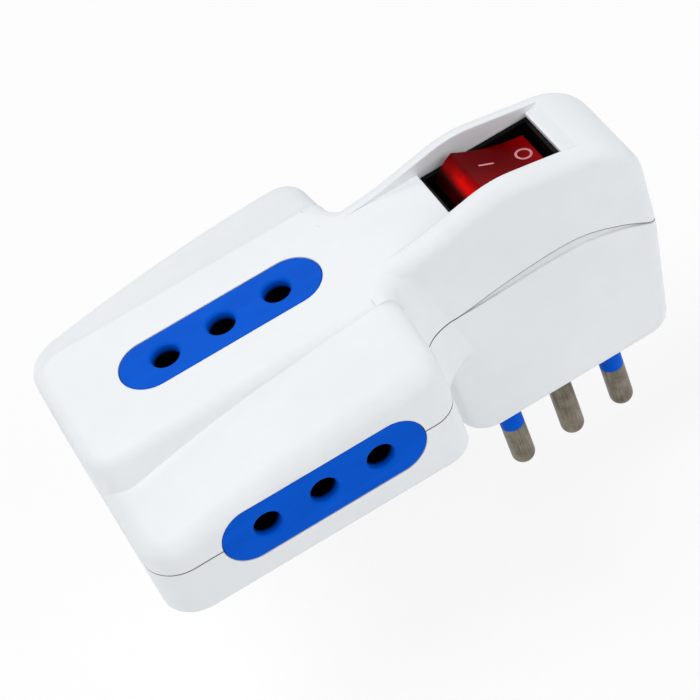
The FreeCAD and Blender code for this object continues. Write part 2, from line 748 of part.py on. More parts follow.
def rocker():
    """Hollow red rocker with two trunnions and the tube that guides the plunger."""
    shell = prism_y(rocker_profile(0), rocker_half_width)
    hollow = prism_y(rocker_profile(rocker_wall), rocker_half_width - rocker_wall)
    inner_top = rocker_top_height - rocker_top_dish - rocker_wall
    guide = Part.makeCylinder(guide_outer_radius, inner_top + rocker_foot_depth + 0.5,
                              Vector(0, 0, -rocker_foot_depth))
    bore = Part.makeCylinder(guide_inner_radius, inner_top + rocker_foot_depth + 2,
                             Vector(0, 0, -rocker_foot_depth - 2))
    length = 2 * (rocker_half_width + trunnion_length)
    rod = Part.makeCylinder(trunnion_radius, length, Vector(0, -length / 2, 0), Vector(0, 1, 0))
    trunnions = rod.cut(box(-3, 3, -rocker_half_width + 0.2, rocker_half_width - 0.2, -3, 3))
    return level_to_rest(fuse([shell.cut(hollow), guide, trunnions]).cut(bore))


def plunger():
    """Round rod that presses the contact blade with its blunt tip."""
    tip_height = plunger_radius - plunger_tip_radius
    rod = Part.makeCylinder(plunger_radius, plunger_top + plunger_reach - tip_height,
                            Vector(0, 0, tip_height - plunger_reach))
    tip = Part.makeCone(plunger_tip_radius, plunger_radius, tip_height, Vector(0, 0, -plunger_reach))
    return level_to_rest(fuse([rod, tip]))


def plunger_spring():
    """Coil spring between the plunger and the roof of its guide, in straight steps round the coil."""
    room = rocker_top_height - rocker_top_dish - rocker_wall - plunger_top - 4 * spring_wire_radius
    steps = spring_turns * spring_steps
    path = []
    for step in range(steps + 1):
        angle = 2 * math.pi * step / spring_steps
        path.append(Vector(spring_coil_radius * math.cos(angle), spring_coil_radius * math.sin(angle),
                           plunger_top + 2 * spring_wire_radius + room * step / steps))
    section = []
    for corner in range(5):
        angle = math.pi * corner / 2
        offset = Vector(spring_wire_radius * math.cos(angle), 0, spring_wire_radius * math.sin(angle))
        section.append(path[0] + offset)
    coil = Part.makePolygon(path).makePipeShell([Part.makePolygon(section)], True, False, 1)
    return level_to_rest(coil)


def lamp_piece(x, radius):
    length = 2 * (rocker_half_width - rocker_wall) - 0.4
    start = Vector(x, -length / 2, lamp_offset_z)
    return level_to_rest(Part.makeCylinder(radius, length, start, Vector(0, 1, 0)))


def housing_screws():
    screws = []
    for x, y in screw_places:
        head_z = block_bottom_z + screw_head_recess - screw_head_height
        head = Part.makeCylinder(screw_head_radius, screw_head_height, Vector(x, y, head_z))
        shank = Part.makeCylinder(screw_radius, screw_length, Vector(x, y, head_z + screw_head_height))
        long = screw_cross_length / 2
        thin = screw_cross_width / 2
        top_z = head_z + screw_cross_depth
        cross = fuse([box(x - long, x + long, y - thin, y + thin, head_z - 1, top_z),
                      box(x - thin, x + thin, y - long, y + long, head_z - 1, top_z)])
        screws.append(fuse([head, shank]).cut(cross))
    return Part.makeCompound(screws)


def build():
    """Every sub-part by its node's name."""
    upper, lower = housings()
    face = socket_insert()
    top_face, near_face, far_face = place_all(face)
    lamp_x, supply_x, load_x = terminal_xs()
    parts = {
        "upper_housing": upper,
        "lower_housing": lower,
        "top_socket_insert": top_face,
        "near_socket_insert": near_face,
        "far_socket_insert": far_face,
        "neutral_pin": at_x(pin(True), -pin_pitch),
        "earth_pin": pin(False),
        "line_pin": at_x(pin(True), pin_pitch),
        "neutral_pin_sleeve": at_x(pin_sleeve(), -pin_pitch),
        "line_pin_sleeve": at_x(pin_sleeve(), pin_pitch),
        "neutral_busbar": long_busbar(neutral_x, -pin_pitch, -1, lamp_x),
        "earth_busbar": long_busbar(earth_x, 0, 1),
        "line_busbar": line_busbar(),
        "switched_link": switched_link(),
        "supply_link": supply_link(),
        "switch_body": switch_body(),
        "lamp_terminal": terminal(lamp_x, outer_terminal_top_z),
        "supply_terminal": terminal(supply_x, centre_terminal_top_z),
        "load_terminal": terminal(load_x, outer_terminal_top_z),
        "contact_blade": contact_blade(),
        "rocker": rocker(),
        "plunger": plunger(),
        "plunger_spring": plunger_spring(),
        "neon_lamp": lamp_piece(lamp_offset_x, lamp_radius),
        "lamp_resistor": lamp_piece(-lamp_offset_x, resistor_radius),
        "housing_screws": housing_screws(),
    }
    for pole, x in (("neutral", neutral_x), ("earth", earth_x), ("line", line_x)):
        parts["top_" + pole + "_contact"] = top_contact(x)
        parts["near_" + pole + "_contact"] = side_contact(x, -1)
        parts["far_" + pole + "_contact"] = side_contact(x, 1)
    return parts


os.makedirs("parts", exist_ok=True)
for name, shape in build().items():
    shape.exportStep(os.path.join("parts", name + ".step"))
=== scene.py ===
# %% [markdown]
# # Switched plug adapter
# A white adapter with three in-line pins under a lit rocker switch, and a block with an oval blue socket
# face on top and on both sides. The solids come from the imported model, in metres, and stay where they are.
# This notebook gives them their finishes, makes the socket faces, the pins, the screws, the spring and the
# marks itself, and sets up a small white studio with the photograph's camera.

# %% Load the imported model
import json
import math
import bmesh
import bpy
from mathutils import Matrix, Vector


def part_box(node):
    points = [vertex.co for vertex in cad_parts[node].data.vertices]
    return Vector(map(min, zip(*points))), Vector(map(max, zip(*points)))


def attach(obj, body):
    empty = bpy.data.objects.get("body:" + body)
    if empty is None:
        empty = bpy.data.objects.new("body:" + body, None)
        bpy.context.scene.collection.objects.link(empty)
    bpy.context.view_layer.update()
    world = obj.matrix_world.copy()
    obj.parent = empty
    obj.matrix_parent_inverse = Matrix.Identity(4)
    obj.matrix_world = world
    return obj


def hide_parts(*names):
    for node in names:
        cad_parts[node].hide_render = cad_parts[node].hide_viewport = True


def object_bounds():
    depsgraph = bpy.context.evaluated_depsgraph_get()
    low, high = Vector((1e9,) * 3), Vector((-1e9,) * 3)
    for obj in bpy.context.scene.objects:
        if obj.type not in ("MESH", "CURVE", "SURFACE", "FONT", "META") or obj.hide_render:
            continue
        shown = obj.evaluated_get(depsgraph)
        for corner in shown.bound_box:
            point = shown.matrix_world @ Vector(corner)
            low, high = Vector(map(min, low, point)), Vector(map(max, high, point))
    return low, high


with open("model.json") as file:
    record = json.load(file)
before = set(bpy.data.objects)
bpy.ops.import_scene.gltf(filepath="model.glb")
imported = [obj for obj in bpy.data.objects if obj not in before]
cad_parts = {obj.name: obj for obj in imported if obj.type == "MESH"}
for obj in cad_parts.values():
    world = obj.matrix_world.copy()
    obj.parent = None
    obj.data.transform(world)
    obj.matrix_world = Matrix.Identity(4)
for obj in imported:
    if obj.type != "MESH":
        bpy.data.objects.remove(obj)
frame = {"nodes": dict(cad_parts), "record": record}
cad_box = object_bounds()
nodes = frame["nodes"]
MM = 0.001
print("pieces in the packed model:", len(nodes))
print("size in mm:", [round(side / MM, 1) for side in cad_box[1] - cad_box[0]])

# %% [markdown]
# ## Camera
# The lens was matched to the pins and the socket holes, whose sizes are standard. A view is easiest to
# keep as an azimuth, an elevation and a roll, plus where the model's origin sits in front of the lens.
# The focal length is kept in pixels of a 700 pixel picture, and Blender wants it in sensor millimetres.

# %% Camera at the photograph's angle
PICTURE_PIXELS = 700
FOCAL_PIXELS = 2707.1
SENSOR_WIDTH = 36
AZIMUTH = math.radians(-9.59)
ELEVATION = math.radians(44.37)
ROLL = math.radians(-23.72)
ORIGIN_RIGHT = 31.54 * MM
ORIGIN_DOWN = 0.37 * MM
ORIGIN_AWAY = 433.0 * MM

backward = Vector((math.sin(AZIMUTH) * math.cos(ELEVATION),
                   -math.cos(AZIMUTH) * math.cos(ELEVATION), math.sin(ELEVATION)))
level_right = Vector((0, 0, 1)).cross(backward).normalized()
level_up = backward.cross(level_right)
camera_right = level_right * math.cos(ROLL) + level_up * math.sin(ROLL)
camera_up = level_up * math.cos(ROLL) - level_right * math.sin(ROLL)
lens_place = backward * ORIGIN_AWAY - camera_right * ORIGIN_RIGHT + camera_up * ORIGIN_DOWN

camera_data = bpy.data.cameras.new("camera")
camera_data.sensor_width = SENSOR_WIDTH
camera_data.lens = FOCAL_PIXELS * SENSOR_WIDTH / PICTURE_PIXELS
camera_data.clip_start = 0.01
camera_data.clip_end = 20
camera = bpy.data.objects.new("camera", camera_data)
bpy.context.scene.collection.objects.link(camera)
turn = Matrix((camera_right, camera_up, backward)).transposed().to_4x4()
camera.matrix_world = Matrix.Translation(lens_place) @ turn
bpy.context.scene.camera = camera
print("lens:", round(camera_data.lens, 1), "mm, at", [round(v / MM) for v in lens_place])

# %% [markdown]
# ## Node sums as Python
# A finish is arithmetic on patterns: a noise times a strength plus a base. Wiring that by hand hides the
# sum among the nodes. A small class can wrap a socket, so that a plus sign adds a Math node, and one
# method can make every other node. The same two classes serve materials and Geometry Nodes.

# %% Small classes for node maths
BEVEL_SAMPLES = 6


class Signal:
    """A value that varies over the surface or comes from a named input. Arithmetic on it adds Math nodes."""

    def __init__(self, graph, socket):
        self.graph = graph
        self.socket = socket

    def _sum(self, operation, first, second=0.0):
        return self.graph.node("ShaderNodeMath", {"operation": operation}, {0: first, 1: second})

    def __add__(self, other):
        return self._sum("ADD", self, other)

    def __sub__(self, other):
        return self._sum("SUBTRACT", self, other)

    def __rsub__(self, other):
        return self._sum("SUBTRACT", other, self)

    def __mul__(self, other):
        return self._sum("MULTIPLY", self, other)

    def __truediv__(self, other):
        return self._sum("DIVIDE", self, other)

    def __abs__(self):
        return self._sum("ABSOLUTE", self)

    __radd__ = __add__
    __rmul__ = __mul__

    def larger(self, other):
        return self._sum("MAXIMUM", self, other)

    def between(self, low, high):
        """0 below low and 1 above high, with a soft step."""
        return self.graph.node("ShaderNodeMapRange", {"interpolation_type": "SMOOTHSTEP"}, {
            "Value": self, "From Min": low, "From Max": high})


class Graph:
    """A node tree being made, for a material, a world or a piece of geometry."""

    def __init__(self, tree):
        self.tree = tree

    def node(self, kind, settings=None, inputs=None, output=0):
        made = self.tree.nodes.new(kind)
        for key, value in (settings or {}).items():
            setattr(made, key, value)
        for key, value in (inputs or {}).items():
            for one in value if isinstance(value, list) else [value]:
                if isinstance(one, Signal):
                    self.tree.links.new(one.socket, made.inputs[key])
                else:
                    made.inputs[key].default_value = one
        return Signal(self, made.outputs[output])


class Finish(Graph):
    """A material being made: its shader, and the nodes that feed it."""

    def __init__(self, name, **fixed):
        self.material = bpy.data.materials.new(name)
        self.material.use_nodes = True
        super().__init__(self.material.node_tree)
        self.shader = self.tree.nodes["Principled BSDF"]
        for socket, value in fixed.items():
            self.shader.inputs[socket.replace("_", " ")].default_value = value
        self.place = self.node("ShaderNodeTexCoord", output="Object")

    def noise(self, size, detail=2.0, place=None, rough=0.5):
        """Soft cloud pattern from 0 to 1 whose lumps are about size across, in metres."""
        inputs = {"Vector": place or self.place, "Scale": 1 / size, "Detail": detail, "Roughness": rough}
        return self.node("ShaderNodeTexNoise", None, inputs)

    def stretched(self, scale):
        return self.node("ShaderNodeMapping", None, {"Vector": self.place, "Scale": scale})

    def axis(self, name):
        return self.node("ShaderNodeSeparateXYZ", None, {0: self.place}, output=name)

    def mix(self, share, first, second):
        """Colour that goes from first to second as share goes from 0 to 1."""
        made = self.tree.nodes.new("ShaderNodeMix")
        made.data_type = "RGBA"
        self.tree.links.new(share.socket, made.inputs["Factor"])
        for key, colour in ((6, first), (7, second)):
            if isinstance(colour, Signal):
                self.tree.links.new(colour.socket, made.inputs[key])
            else:
                made.inputs[key].default_value = (*colour, 1)
        return Signal(self, made.outputs[2])

    def bump(self, height, depth, edge=None):
        """Small relief; depth is what a height of 1 stands for and edge softens the corners, in metres."""
        inputs = {"Height": height, "Distance": depth, "Strength": 1.0}
        if edge:
            inputs["Normal"] = self.node("ShaderNodeBevel", {"samples": BEVEL_SAMPLES}, {"Radius": edge})
        self.feed("Normal", self.node("ShaderNodeBump", None, inputs))

    def feed(self, socket, signal):
        self.tree.links.new(signal.socket, self.shader.inputs[socket])


def linear(red, green, blue):
    """Screen colour from 0 to 255 as the linear values that a shader takes."""
    def one(value):
        share = value / 255
        return share / 12.92 if share <= 0.04045 else ((share + 0.055) / 1.055) ** 2.4
    return one(red), one(green), one(blue)


# %% [markdown]
# ## Where the shells meet
# The two shells are pressed together along a line: level round the block, arched over the plug head. On
# the real thing it is a hairline gap, dark with shade. The solids touch there, so the gap could be cut as a
# groove, but at a tenth of a millimetre a line of painted shade looks the same. Its height at each X is
# read from the upper shell's lowest corners, so the line stays on the joint. A corner that would make the
# line climb or fall steeper than JOINT_SLOPE belongs to another face and is left out.

# %% Read the joint line from the upper shell
ARCH_TOP_Z = 28.3 * MM
JOINT_STEP = 0.4 * MM
JOINT_SLOPE = 1.0
JOINT_SLACK = 0.05 * MM


def joint_line():
    """X and Z of the joint in metres, from left to right: the upper shell's lowest corner at each X."""
    lowest = {}
    for corner in nodes["upper_housing"].data.vertices:
        x, y, z = corner.co
        place = round(x / JOINT_STEP)
        if z < ARCH_TOP_Z and (place not in lowest or z < lowest[place][1]):
            lowest[place] = (x, z)
    places = sorted(lowest)
    line = [lowest[places[0]]]
    for place in places[1:]:
        x, z = lowest[place]
        last_x, last_z = line[-1]
        if abs(z - last_z) <= JOINT_SLOPE * (x - last_x) + JOINT_SLACK:
            line.append((x, z))
    return line


seam = joint_line()

# %% [markdown]
# ## White shell
# The shells are moulded in a tool whose cavity was spark-eroded, so the surface is an even fine matte
# grain. A flat white would look like a drawing. Three patterns at three sizes carry it: grain a third of
# a millimetre across in the relief, a slower change of gloss, and a faint drift of tone over centimetres.
# The joint line is a Float Curve of height over X; where the surface is near that height it is painted
# dark grey, the shade in the hairline gap, and the relief dips.

# %% Finish of the white shells
SEAM_HALF_WIDTH = 0.05 * MM
SEAM_SOFTNESS = 0.07 * MM


def white_shell():
    finish = Finish("white_shell", IOR=1.5, Specular_IOR_Level=0.3)
    grain = finish.noise(0.35 * MM, detail=3, rough=0.6)
    patch = finish.noise(4 * MM, detail=3)
    drift = finish.noise(30 * MM, detail=1)
    tone = drift * 0.6 + patch * 0.4
    plain = finish.mix(tone.between(0.3, 0.7), linear(234, 237, 240), linear(239, 241, 243))

    left, right = seam[0][0], seam[-1][0]
    low = min(z for x, z in seam)
    high = max(z for x, z in seam)
    along = (finish.axis("X") - left) / (right - left)
    level = finish.node("ShaderNodeFloatCurve", None, {"Value": along})
    curve = level.socket.node.mapping.curves[0]
    while len(curve.points) < len(seam):
        curve.points.new(0.5, 0.5)
    for point, (x, z) in zip(curve.points, seam):
        point.location = ((x - left) / (right - left), (z - low) / (high - low))
        point.handle_type = "VECTOR"
    level.socket.node.mapping.update()
    off_line = abs(finish.axis("Z") - (level * (high - low) + low))
    gap = 1 - off_line.between(SEAM_HALF_WIDTH, SEAM_HALF_WIDTH + SEAM_SOFTNESS)

    # painted shade: the hairline gap between the shells, a dark grey line
    finish.feed("Base Color", finish.mix(gap, plain, linear(88, 88, 90)))
    finish.feed("Roughness", 0.44 + patch * 0.08 + grain * 0.06)
    finish.bump(grain * 0.15 - gap, 0.1 * MM, edge=0.3 * MM)
    return finish.material


# %% [markdown]
# ## Blue plastic
# The socket faces and the pin sleeves are a strong blue with a satin skin. The same classes are used
# again: a finer grain than the shell's, and streaks that follow the way the plastic flowed in its mould.
# Down in the socket holes the blue is mixed to near black by the faces' depth attribute: painted shade.

# %% Finish of the blue faces and sleeves
def blue_plastic():
    finish = Finish("blue_plastic", IOR=1.5, Specular_IOR_Level=0.03)
    grain = finish.noise(0.25 * MM, detail=2)
    flow = finish.noise(3 * MM, detail=3, place=finish.stretched((0.25, 1, 1)))
    colour = finish.mix(flow.between(0.3, 0.7), linear(0, 84, 202), linear(1, 90, 212))
    # painted shade: the socket holes turn near black further down, by the depth attribute
    depth = finish.node("ShaderNodeAttribute", {"attribute_name": "depth"}, output="Fac")
    finish.feed("Base Color", finish.mix(depth, colour, linear(2, 4, 9)))
    finish.feed("Roughness", 0.34 + flow * 0.1 + grain * 0.05)
    finish.bump(grain, 0.008 * MM)
    return finish.material


# %% [markdown]
# ## Black switch frame
# The switch is a bought-in part, moulded in a harder, glossier black. Its highlights carry the shape, so
# the colour hardly changes and the gloss does.

# %% Finish of the switch frame
def black_frame():
    finish = Finish("black_frame", IOR=1.5, Specular_IOR_Level=0.06)
    grain = finish.noise(0.3 * MM, detail=3)
    patch = finish.noise(3 * MM, detail=2)
    finish.feed("Base Color", finish.mix(patch, linear(3, 3, 4), linear(9, 9, 10)))
    finish.feed("Roughness", 0.34 + patch * 0.14 + grain * 0.06)
    finish.bump(grain, 0.01 * MM, edge=0.2 * MM)
    return finish.material


# %% [markdown]
# ## Red rocker
# The rocker is clear red plastic over a lamp. Real refraction would need the lamp's light and many
# samples, and its look barely changes with the angle. A deep red with a trace of coat reads the same. Light
# and shade are painted into that red: a soft bright band on the raised end is painted light for what the
# hollow gathers there, fading as painted shade towards the far side; the right end and the near side are
# painted lighter; and low on the end, by the bezel, it is painted near black as shade.

# %% Finish of the rocker
BEZEL_LINE_X = -5.08 * MM
rocker_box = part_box("rocker")


def red_rocker():
    finish = Finish("red_rocker", IOR=1.5, Specular_IOR_Level=0.02, Coat_Roughness=0.1)
    cloud = finish.noise(3.5 * MM, detail=2)
    x = finish.axis("X")
    y = finish.axis("Y")
    # painted shade: the rocker turns near black low down on its end, by the bezel
    painted_skirt_shade = 1 - x.between(BEZEL_LINE_X + 0.2 * MM, BEZEL_LINE_X + 1.4 * MM)
    # painted light: a bright band on the raised end, dimmed towards the far side as painted shade
    end_face = 1 - x.between(BEZEL_LINE_X + 1.2 * MM, BEZEL_LINE_X + 3.0 * MM)
    far_side = y.between(-1.0 * MM, 3.5 * MM)
    painted_glow = end_face * (1 - far_side * 0.8) * cloud.between(0.2, 0.5)
    # painted light: the right end and the near side of the rocker are lighter red
    right_end = x.between(rocker_box[1].x - 5 * MM, rocker_box[1].x - 0.5 * MM)
    near_side = 1 - y.between(-5 * MM, 1 * MM)
    painted_side_light = right_end.larger(near_side * 0.7)
    deep = finish.mix(painted_side_light, linear(96, 0, 3), linear(150, 0, 5))
    lit = finish.mix(painted_glow, deep, linear(222, 6, 2))
    finish.feed("Base Color", finish.mix(painted_skirt_shade * 0.96, lit, linear(8, 0, 0)))
    finish.feed("Roughness", 0.26 + cloud * 0.1)
    finish.feed("Coat Weight", 0.01 + cloud * 0.03)
    finish.bump(finish.noise(1.5 * MM), 0.01 * MM, edge=0.35 * MM)
    return finish.material


# %% [markdown]
# ## Metals and small parts
# The pins are drawn brass rod with a dull nickel plating: long fine lines along the pin, and a warm grey.
# The strips inside are pressed brass sheet, and the screws and the spring are zinc-plated steel. One
# function serves all three, because they differ only in colour, gloss and the way the lines run. The
# lamp's glass, the banded resistor and the paint of the marks are short and stand beside them.

# %% Finishes of the metals, the lamp and the paint
def metal(name, dark, light, roughness, line_size, line_stretch):
    finish = Finish(name, Metallic=1.0)
    lines = finish.noise(line_size, detail=4, place=finish.stretched(line_stretch), rough=0.6)
    stain = finish.noise(2.5 * MM, detail=3)
    finish.feed("Base Color", finish.mix((lines * 0.5 + stain * 0.5).between(0.35, 0.65), dark, light))
    finish.feed("Roughness", roughness + lines * 0.12 + stain * 0.1)
    finish.bump(lines, 0.006 * MM)
    return finish.material


def lamp_glass():
    finish = Finish("lamp_glass", IOR=1.45)
    blush = finish.noise(1.2 * MM)
    finish.feed("Base Color", finish.mix(blush, linear(245, 205, 190), linear(250, 225, 215)))
    finish.feed("Roughness", 0.06 + blush * 0.08)
    return finish.material


def resistor_body():
    finish = Finish("resistor_body")
    along = finish.axis("Y")
    bands = finish.node("ShaderNodeTexWave", {"wave_profile": "SIN", "bands_direction": "Y"},
                        {"Vector": finish.place, "Scale": 160.0, "Distortion": 0.3})
    band = bands.between(0.75, 0.85)
    finish.feed("Base Color", finish.mix(band, linear(205, 185, 140), linear(120, 60, 30)))
    finish.feed("Roughness", 0.5 + along * 20.0)
    return finish.material


def mark_paint():
    finish = Finish("mark_paint", Specular_IOR_Level=0.1)
    speck = finish.noise(0.25 * MM)
    finish.feed("Base Color", finish.mix(speck, linear(205, 130, 142), linear(225, 158, 166)))
    finish.feed("Roughness", 0.5 + speck * 0.2)
    return finish.material


FINISHES = {
    "white_shell": white_shell(),
    "blue_plastic": blue_plastic(),
    "black_frame": black_frame(),
    "red_rocker": red_rocker(),
    "pin_metal": metal("pin_metal", linear(98, 92, 80), linear(138, 131, 117),
                       0.3, 0.15 * MM, (1, 1, 0.04)),
    "brass_strip": metal("brass_strip", linear(190, 150, 80), linear(222, 186, 112),
                         0.32, 0.2 * MM, (0.08, 1, 1)),
    "steel": metal("steel", linear(150, 152, 155), linear(190, 192, 195),
                   0.3, 0.2 * MM, (1, 1, 1)),
    "lamp_glass": lamp_glass(),
    "resistor_body": resistor_body(),
    "mark_paint": mark_paint(),
}
print("finishes:", sorted(FINISHES))

# %% [markdown]
# ## Dressing the solids
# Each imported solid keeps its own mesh. The record already says which material slot each one has, so the
# finishes go on by that name and nothing is listed twice.

# %% Put the finishes on
for subpart in frame["record"]["subparts"]:
    piece = nodes[subpart["node"]]
    piece.data.materials.clear()
    piece.data.materials.append(FINISHES[subpart["material_slot"]])
print("dressed:", len(nodes), "solids")

# %% [markdown]
# ## From rings to a finished piece
# Most moulded and turned things are stacks of closed rings with skin between them. A few helpers are
# enough: one joins two rings with four-sided faces, one closes a flat area that may have holes, and one
# turns the result into an object with soft shading except at real corners.

# %% Helpers for pieces made of rings
SHARP_ANGLE = math.radians(35)


def ring(mesh, points):
    return [mesh.verts.new(point) for point in points]


def skin(mesh, first, second):
    """Four-sided faces between two rings with the same number of corners."""
    count = len(first)
    for place in range(count):
        following = (place + 1) % count
        mesh.faces.new((first[place], first[following], second[following], second[place]))


def fill(mesh, rings):
    """One flat face inside the first ring, with the other rings left open as holes."""
    edges = [mesh.edges.get((one, two)) or mesh.edges.new((one, two))
             for loop in rings for one, two in zip(loop, loop[1:] + loop[:1])]
    bmesh.ops.triangle_fill(mesh, use_beauty=True, use_dissolve=False, edges=edges)


def finished(mesh, name, finish, body, replaced=None):
    """Object from a mesh: normals outwards, sharp only at real corners, riding on its body."""
    bmesh.ops.recalc_face_normals(mesh, faces=mesh.faces[:])
    data = bpy.data.meshes.new(name)
    mesh.to_mesh(data)
    mesh.free()
    return placed(data, name, finish, body, replaced)


def placed(data, name, finish, body, replaced=None):
    data.shade_smooth()
    data.set_sharp_from_angle(angle=SHARP_ANGLE)
    data.materials.clear()
    data.materials.append(FINISHES[finish])
    piece = bpy.data.objects.new(name, data)
    bpy.context.scene.collection.objects.link(piece)
    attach(piece, body)
    if replaced:
        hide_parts(replaced)
    print(name, "has", len(data.polygons), "faces")
    return piece


# %% [markdown]
# ## Socket faces
# Each face is a blue oval moulding with three holes, and its mouths are rounded so that a plug's pins find
# them. A boolean on a cylinder leaves a hard edge there. Here the oval and the holes are rings at a few
# depths: near the front the hole rings widen along a quarter circle, which is the rounding. All three
# faces are the same shape in their own frame, and a matrix puts each on its side of the block.

# %% The three socket faces
FACE_LENGTH = 33.8
FACE_HEIGHT = 9.9
FACE_DEPTH = 2.0
BACK_LENGTH = 35.8
BACK_HEIGHT = 11.9
BACK_DEPTH = 10.0
BACK_CORNER = 0.3
HOLE_PITCH = 9.5
HOLE_RADIUS = 2.2
MOUTH_ROUNDING = 0.55
MOUTH_MARGIN = 1.15
MOUTH_STEPS = 6
HOLE_SHADE_START = 1.0
HOLE_SHADE_DEPTH = 0.7
RIM_ROUNDING = 0.12
END_FLAT = 0.02
FACE_CORNERS = 96
HOLE_CORNERS = 56


def oval(length, height, corner, count):
    """Points round a rectangle with rounded corners; corner is nearly half the height for an oval."""
    corner = min(corner, height / 2 - END_FLAT)
    points = []
    for quarter in range(4):
        side_x = 1 if quarter in (0, 3) else -1
        side_y = 1 if quarter in (0, 1) else -1
        for step in range(count // 4):
            angle = math.pi / 2 * (quarter + step / (count // 4 - 1))
            points.append((side_x * (length / 2 - corner) + corner * math.cos(angle),
                           side_y * (height / 2 - corner) + corner * math.sin(angle)))
    return points


def circle(x, y, radius, count):
    return [(x + radius * math.cos(2 * math.pi * step / count),
             y + radius * math.sin(2 * math.pi * step / count)) for step in range(count)]


def socket_face():
    mesh = bmesh.new()
    depth = mesh.verts.layers.float.new("depth")

    def at(points, z):
        corners = ring(mesh, [(x, y, z) for x, y in points])
        for corner in corners:
            # painted shade: 0 at the front and 1 down the hole, where the blue finish turns near black
            corner[depth] = min(1, max(0, -z - HOLE_SHADE_START) / HOLE_SHADE_DEPTH)
        return corners
    rim = at(oval(FACE_LENGTH - 2 * RIM_ROUNDING, FACE_HEIGHT - 2 * RIM_ROUNDING,
                  FACE_HEIGHT / 2 - RIM_ROUNDING, FACE_CORNERS), 0)
    below_rim = at(oval(FACE_LENGTH, FACE_HEIGHT, FACE_HEIGHT / 2, FACE_CORNERS), -RIM_ROUNDING)
    neck = at(oval(FACE_LENGTH, FACE_HEIGHT, FACE_HEIGHT / 2, FACE_CORNERS), -FACE_DEPTH)
    hook = at(oval(BACK_LENGTH, BACK_HEIGHT, BACK_CORNER, FACE_CORNERS), -FACE_DEPTH)
    back = at(oval(BACK_LENGTH, BACK_HEIGHT, BACK_CORNER, FACE_CORNERS), -BACK_DEPTH)
    for first, second in ((rim, below_rim), (below_rim, neck), (neck, hook), (hook, back)):
        skin(mesh, first, second)
    front_rings = [rim]
    back_rings = [back]
    for x in (-HOLE_PITCH, 0, HOLE_PITCH):
        profile = [(HOLE_RADIUS + MOUTH_ROUNDING * MOUTH_MARGIN, 0)]
        for step in range(MOUTH_STEPS + 1):
            angle = math.pi / 2 * step / MOUTH_STEPS
            profile.append((HOLE_RADIUS + MOUTH_ROUNDING * (1 - math.sin(angle)),
                            -MOUTH_ROUNDING * (1 - math.cos(angle))))
        shade_end = HOLE_SHADE_START + HOLE_SHADE_DEPTH
        profile += [(HOLE_RADIUS, -z) for z in (HOLE_SHADE_START, shade_end, BACK_DEPTH)]
        rings = [at(circle(x, 0, radius, HOLE_CORNERS), z) for radius, z in profile]
        for first, second in zip(rings, rings[1:]):
            skin(mesh, first, second)
        front_rings.append(rings[0])
        back_rings.append(rings[-1])
    fill(mesh, front_rings)
    fill(mesh, back_rings)
    return mesh


def face_frame(node, outward):
    """Matrix from a socket face's own frame, in millimetres, to its place on the block, in metres."""
    low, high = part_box(node)
    middle = (low + high) / 2
    normal = Vector(outward)
    along = Vector((1, 0, 0))
    across = normal.cross(along)
    for axis in range(3):
        if normal[axis]:
            middle[axis] = high[axis] if normal[axis] > 0 else low[axis]
    turn = Matrix((along, across, normal)).transposed().to_4x4()
    return Matrix.Translation(middle) @ turn @ Matrix.Scale(MM, 4)


for name, outward in (("top", (0, 0, 1)), ("near", (0, -1, 0)), ("far", (0, 1, 0))):
    node = name + "_socket_insert"
    moulding = socket_face()
    moulding.transform(face_frame(node, outward))
    finished(moulding, name + "_face", "blue_plastic", "adapter", node)

# %% [markdown]
# ## Plug pins
# A pin is turned from rod with a well rounded tip, then a square collar and tail are pressed at its root
# inside the head. A profile spun round an axis gives the rod. The same rings give the squares, too, when
# each corner of the ring is pushed out to the square's side, so the whole pin is one closed skin.

# %% The three pins
PIN_PITCH = 9.5
PIN_RADIUS = 2.0
PIN_TIP_Z = -19.0
TIP_ROUNDING = 1.7
SLEEVE_BOTTOM_Z = -10.0
SLEEVED_RADIUS = 1.3
BARE_SEAT_RADIUS = 1.8
COLLAR_BOTTOM_Z = 2.5
COLLAR_TOP_Z = 4.0
COLLAR_HALF = 3.2
TAIL_TOP_Z = 5.8
TAIL_HALF = 1.1
PIN_CORNERS = 64
TIP_STEPS = 10


def rod_ring(mesh, x, z, half, square=False):
    points = []
    for step in range(PIN_CORNERS):
        angle = 2 * math.pi * step / PIN_CORNERS
        reach = half / max(abs(math.cos(angle)), abs(math.sin(angle))) if square else half
        points.append((x + reach * math.cos(angle), reach * math.sin(angle), z))
    return ring(mesh, points)


def plug_pin(x, sleeved):
    mesh = bmesh.new()
    flat = PIN_RADIUS - TIP_ROUNDING
    profile = [(flat + TIP_ROUNDING * math.sin(math.pi / 2 * step / TIP_STEPS),
                PIN_TIP_Z + TIP_ROUNDING * (1 - math.cos(math.pi / 2 * step / TIP_STEPS)))
               for step in range(TIP_STEPS + 1)]
    shoulder_z = SLEEVE_BOTTOM_Z if sleeved else 0
    seat = SLEEVED_RADIUS if sleeved else BARE_SEAT_RADIUS
    profile += [(PIN_RADIUS, shoulder_z), (seat, shoulder_z), (seat, COLLAR_BOTTOM_Z)]
    rings = [rod_ring(mesh, x, z, radius) for radius, z in profile]
    rings += [rod_ring(mesh, x, z, half, True) for half, z in (
        (COLLAR_HALF, COLLAR_BOTTOM_Z), (COLLAR_HALF, COLLAR_TOP_Z),
        (TAIL_HALF, COLLAR_TOP_Z), (TAIL_HALF, TAIL_TOP_Z))]
    for first, second in zip(rings, rings[1:]):
        skin(mesh, first, second)
    mesh.faces.new(rings[0])
    mesh.faces.new(rings[-1])
    mesh.transform(Matrix.Scale(MM, 4))
    return mesh


for name, x, sleeved in (("neutral", -PIN_PITCH, True), ("earth", 0, False), ("line", PIN_PITCH, True)):
    finished(plug_pin(x, sleeved), name + "_rod", "pin_metal", "adapter", name + "_pin")

